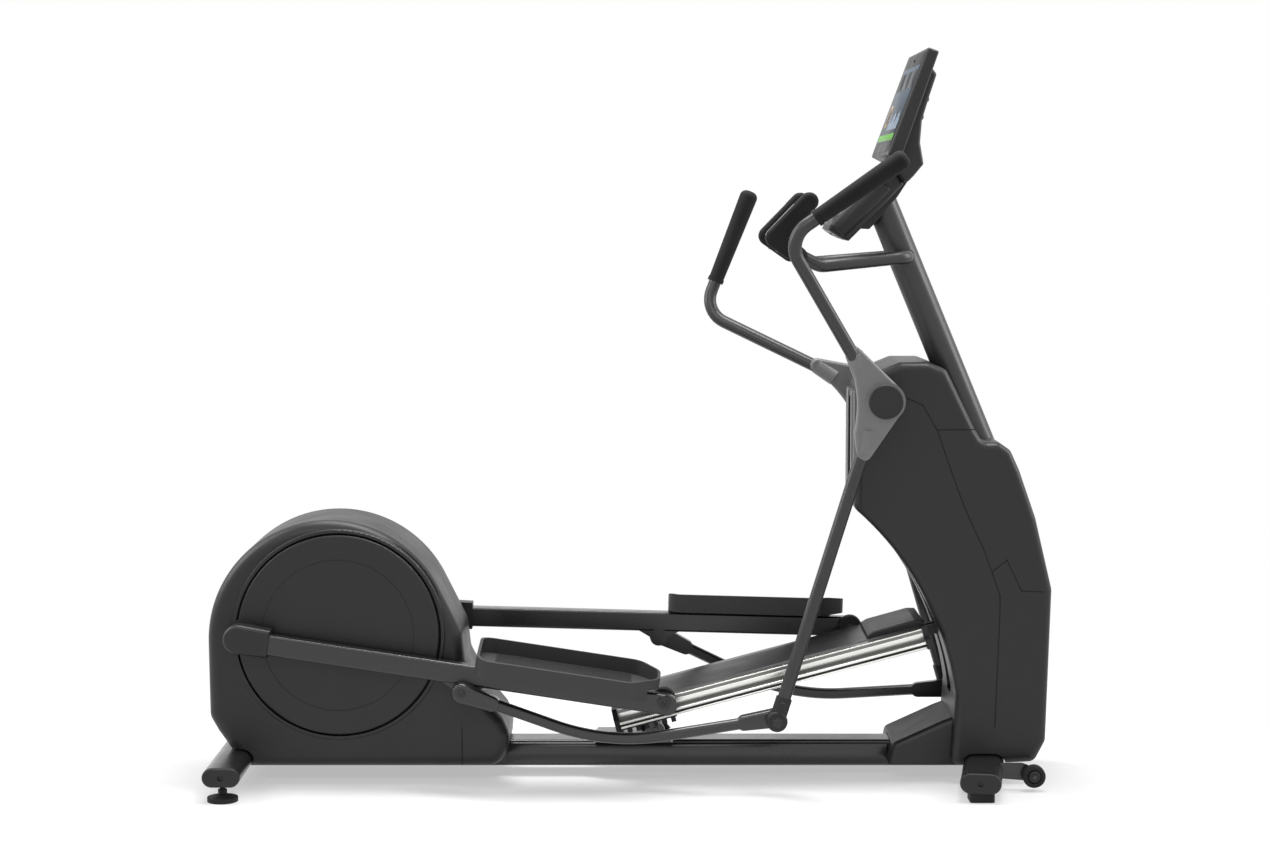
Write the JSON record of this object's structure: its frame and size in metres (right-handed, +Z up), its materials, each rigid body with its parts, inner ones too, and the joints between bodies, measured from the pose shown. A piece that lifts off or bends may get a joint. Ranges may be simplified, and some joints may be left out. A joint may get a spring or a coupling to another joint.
{
  "type": "elliptical trainer",
  "caption": "Free-standing elliptical trainer with a rear crank drive, foot links on an inclining ramp, swinging arms, fixed pulse grips and a screen console.",
  "frame": {"origin": "on the floor under the middle of the bounding box", "axes": "+X from the drive housing towards the console, -Y the user's right, +Z up"},
  "size_m": [2.0558, 0.786, 1.7812],
  "materials": {
    "gunmetal": "satin metallic paint",
    "black_steel": "satin paint",
    "charcoal": "fine grained moulding",
    "dark_plastic": "fine grained moulding",
    "pedal_plastic": "ribbed moulding",
    "casting": "painted casting",
    "rail": "bright anodised",
    "steel": "machined",
    "grip": "matte foam rubber",
    "rubber": "moulded",
    "bronze": "sintered bush",
    "screen": "display glass"
  },
  "bodies": {
    "frame": {"base_rail": "gunmetal", "rear_stabiliser": "gunmetal", "front_stabiliser": "gunmetal", "stabiliser_end_caps": "dark_plastic", "front_feet": "rubber", "right_drive_shell": "charcoal", "left_drive_shell": "charcoal", "drive_rear_cover": "charcoal", "drive_belt": "rubber", "lift_motor": "black_steel", "right_hood": "charcoal", "left_hood": "charcoal", "hood_panel": "dark_plastic", "mast": "gunmetal", "fixed_handlebar": "gunmetal", "fixed_grips": "grip", "pulse_contacts": "steel", "console_housing": "charcoal", "console_screen": "screen", "console_pod": "charcoal"},
    "ramp": {"ramp_rails": "rail", "ramp_frame": "black_steel", "ramp_cover": "dark_plastic", "ramp_end_caps": "dark_plastic"},
    "lift_screw": {"lift_screw": "steel"},
    "right_axle_spacer": {"right_axle_spacer": "steel"},
    "right_roller_axle": {"right_roller_axle": "steel"},
    "right_roller": {"right_roller": "rubber"},
    "right_axle_bush": {"right_axle_bush": "bronze"},
    "right_foot_link": {"right_foot_link": "gunmetal", "right_link_boot": "charcoal", "right_pedal": "pedal_plastic"},
    "right_arm_bush": {"right_arm_bush": "bronze"},
    "right_arm": {"right_arm_casting": "casting", "right_arm_tubes": "gunmetal", "right_hand_grip": "grip", "right_elbow": "dark_plastic"},
    "right_elbow_pin": {"right_elbow_pin": "steel"},
    "right_lower_link": {"right_lower_link": "gunmetal"},
    "left_axle_spacer": {"left_axle_spacer": "steel"},
    "left_roller_axle": {"left_roller_axle": "steel"},
    "left_roller": {"left_roller": "rubber"},
    "left_axle_bush": {"left_axle_bush": "bronze"},
    "left_foot_link": {"left_foot_link": "gunmetal", "left_link_boot": "charcoal", "left_pedal": "pedal_plastic"},
    "left_arm_bush": {"left_arm_bush": "bronze"},
    "left_arm": {"left_arm_casting": "casting", "left_arm_tubes": "gunmetal", "left_hand_grip": "grip", "left_elbow": "dark_plastic"},
    "left_elbow_pin": {"left_elbow_pin": "steel"},
    "left_lower_link": {"left_lower_link": "gunmetal"},
    "crank": {"crankshaft": "steel", "crank_discs": "charcoal"},
    "flywheel": {"flywheel": "steel"},
    "right_levelling_foot": {"right_levelling_foot": "rubber"},
    "right_transport_wheel": {"right_transport_wheel": "rubber"},
    "left_levelling_foot": {"left_levelling_foot": "rubber"},
    "left_transport_wheel": {"left_transport_wheel": "rubber"}
  },
  "joints": [
    {"name": "incline", "type": "hinge", "parent": "frame", "child": "ramp", "pos_m": [0.064, 0, 0.117], "axis": [0, -1, 0], "range_deg": [0, 6]},
    {"name": "lift_screw_turn", "type": "hinge", "parent": "frame", "child": "lift_screw", "pos_m": [0.81286, 0, 0.35907], "axis": [-0.5062, 0, 0.8624], "continuous": true},
    {"name": "right_ramp_shift", "type": "slide", "parent": "ramp", "child": "right_axle_spacer", "axis": [0.9659, 0, 0.2588], "range_m": [0, 0.01205]},
    {"name": "right_stride", "type": "slide", "parent": "right_axle_spacer", "child": "right_roller_axle", "axis": [0.9659, 0, 0.2588], "range_m": [0, 0.49427]},
    {"name": "right_roller_spin", "type": "hinge", "parent": "right_roller_axle", "child": "right_roller", "pos_m": [0.0842, -0.178, 0.21507], "axis": [0, -1, 0], "continuous": true},
    {"name": "right_level", "type": "hinge", "parent": "right_roller_axle", "child": "right_axle_bush", "pos_m": [0.0842, -0.178, 0.21507], "axis": [0, -1, 0], "range_deg": [-5.67, 0]},
    {"name": "right_pitch", "type": "hinge", "parent": "right_axle_bush", "child": "right_foot_link", "pos_m": [0.0842, -0.178, 0.21507], "axis": [0, -1, 0], "range_deg": [0, 7.11]},
    {"name": "right_arm_level", "type": "hinge", "parent": "frame", "child": "right_arm_bush", "pos_m": [0.606, -0.243, 0.949], "axis": [0, -1, 0], "range_deg": [0, 0.03502]},
    {"name": "right_arm_swing", "type": "hinge", "parent": "right_arm_bush", "child": "right_arm", "pos_m": [0.606, -0.243, 0.949], "axis": [0, -1, 0], "range_deg": [0, 33.62]},
    {"name": "right_elbow_level", "type": "hinge", "parent": "right_arm", "child": "right_elbow_pin", "pos_m": [0.35385, -0.225, 0.18135], "axis": [0, -1, 0], "range_deg": [-0.28008, 0]},
    {"name": "right_elbow_swing", "type": "hinge", "parent": "right_elbow_pin", "child": "right_lower_link", "pos_m": [0.35385, -0.225, 0.18135], "axis": [0, -1, 0], "range_deg": [-39.6, 0]},
    {"name": "left_ramp_shift", "type": "slide", "parent": "ramp", "child": "left_axle_spacer", "axis": [0.9659, 0, 0.2588], "range_m": [0, 0.02808]},
    {"name": "left_stride", "type": "slide", "parent": "left_axle_spacer", "child": "left_roller_axle", "axis": [0.9659, 0, 0.2588], "range_m": [-0.49427, 0]},
    {"name": "left_roller_spin", "type": "hinge", "parent": "left_roller_axle", "child": "left_roller", "pos_m": [0.56162, 0.178, 0.34299], "axis": [0, -1, 0], "continuous": true},
    {"name": "left_level", "type": "hinge", "parent": "left_roller_axle", "child": "left_axle_bush", "pos_m": [0.56162, 0.178, 0.34299], "axis": [0, -1, 0], "range_deg": [-2.64, 0]},
    {"name": "left_pitch", "type": "hinge", "parent": "left_axle_bush", "child": "left_foot_link", "pos_m": [0.56162, 0.178, 0.34299], "axis": [0, -1, 0], "range_deg": [-7.11, 0]},
    {"name": "left_arm_level", "type": "hinge", "parent": "frame", "child": "left_arm_bush", "pos_m": [0.606, 0.243, 0.949], "axis": [0, -1, 0], "range_deg": [-0.33038, 0]},
    {"name": "left_arm_swing", "type": "hinge", "parent": "left_arm_bush", "child": "left_arm", "pos_m": [0.606, 0.243, 0.949], "axis": [0, -1, 0], "range_deg": [-33.62, 0]},
    {"name": "left_elbow_level", "type": "hinge", "parent": "left_arm", "child": "left_elbow_pin", "pos_m": [0.82099, 0.225, 0.17013], "axis": [0, -1, 0], "range_deg": [-2.26, 0]},
    {"name": "left_elbow_swing", "type": "hinge", "parent": "left_elbow_pin", "child": "left_lower_link", "pos_m": [0.82099, 0.225, 0.17013], "axis": [0, -1, 0], "range_deg": [0, 39.6]},
    {"name": "crank_spin", "type": "hinge", "parent": "frame", "child": "crank", "pos_m": [-0.707, 0, 0.371], "axis": [0, -1, 0], "continuous": true},
    {"name": "flywheel_spin", "type": "hinge", "parent": "frame", "child": "flywheel", "pos_m": [-0.473, 0, 0.205], "axis": [0, -1, 0], "continuous": true},
    {"name": "right_foot_turn", "type": "hinge", "parent": "frame", "child": "right_levelling_foot", "pos_m": [-0.967, -0.3, 0.01], "axis": [0, 0, 1], "continuous": true},
    {"name": "right_wheel_spin", "type": "hinge", "parent": "frame", "child": "right_transport_wheel", "pos_m": [0.978, -0.205, 0.037], "axis": [0, -1, 0], "continuous": true},
    {"name": "left_foot_turn", "type": "hinge", "parent": "frame", "child": "left_levelling_foot", "pos_m": [-0.967, 0.3, 0.01], "axis": [0, 0, 1], "continuous": true},
    {"name": "left_wheel_spin", "type": "hinge", "parent": "frame", "child": "left_transport_wheel", "pos_m": [0.978, 0.205, 0.037], "axis": [0, -1, 0], "continuous": true}
  ],
  "couplings": [
    {"joint": "lift_screw_turn", "follows": "incline", "ratio": 196.23},
    {"joint": "right_ramp_shift", "follows": "incline", "m_per_rad": 0.11498},
    {"joint": "right_roller_spin", "follows": "right_stride", "rad_per_m": -35.714},
    {"joint": "right_level", "follows": "incline", "ratio": -0.94512},
    {"joint": "right_pitch", "follows": "right_stride", "rad_per_m": 0.25098},
    {"joint": "right_arm_level", "follows": "incline", "ratio": 0.00567},
    {"joint": "right_arm_swing", "follows": "right_stride", "rad_per_m": 1.187},
    {"joint": "right_elbow_level", "follows": "incline", "ratio": -0.046514},
    {"joint": "right_elbow_swing", "follows": "right_stride", "rad_per_m": -1.3984},
    {"joint": "left_ramp_shift", "follows": "incline", "m_per_rad": 0.26806},
    {"joint": "left_stride", "follows": "right_stride", "ratio": -1},
    {"joint": "left_roller_spin", "follows": "right_stride", "rad_per_m": 35.714},
    {"joint": "left_level", "follows": "incline", "ratio": -0.43915},
    {"joint": "left_pitch", "follows": "right_stride", "rad_per_m": -0.25098},
    {"joint": "left_arm_level", "follows": "incline", "ratio": -0.054897},
    {"joint": "left_arm_swing", "follows": "right_stride", "rad_per_m": -1.187},
    {"joint": "left_elbow_level", "follows": "incline", "ratio": -0.376},
    {"joint": "left_elbow_swing", "follows": "right_stride", "rad_per_m": 1.3984},
    {"joint": "crank_spin", "follows": "right_stride", "rad_per_m": -6.3561},
    {"joint": "flywheel_spin", "follows": "right_stride", "rad_per_m": -39.726}
  ]
}
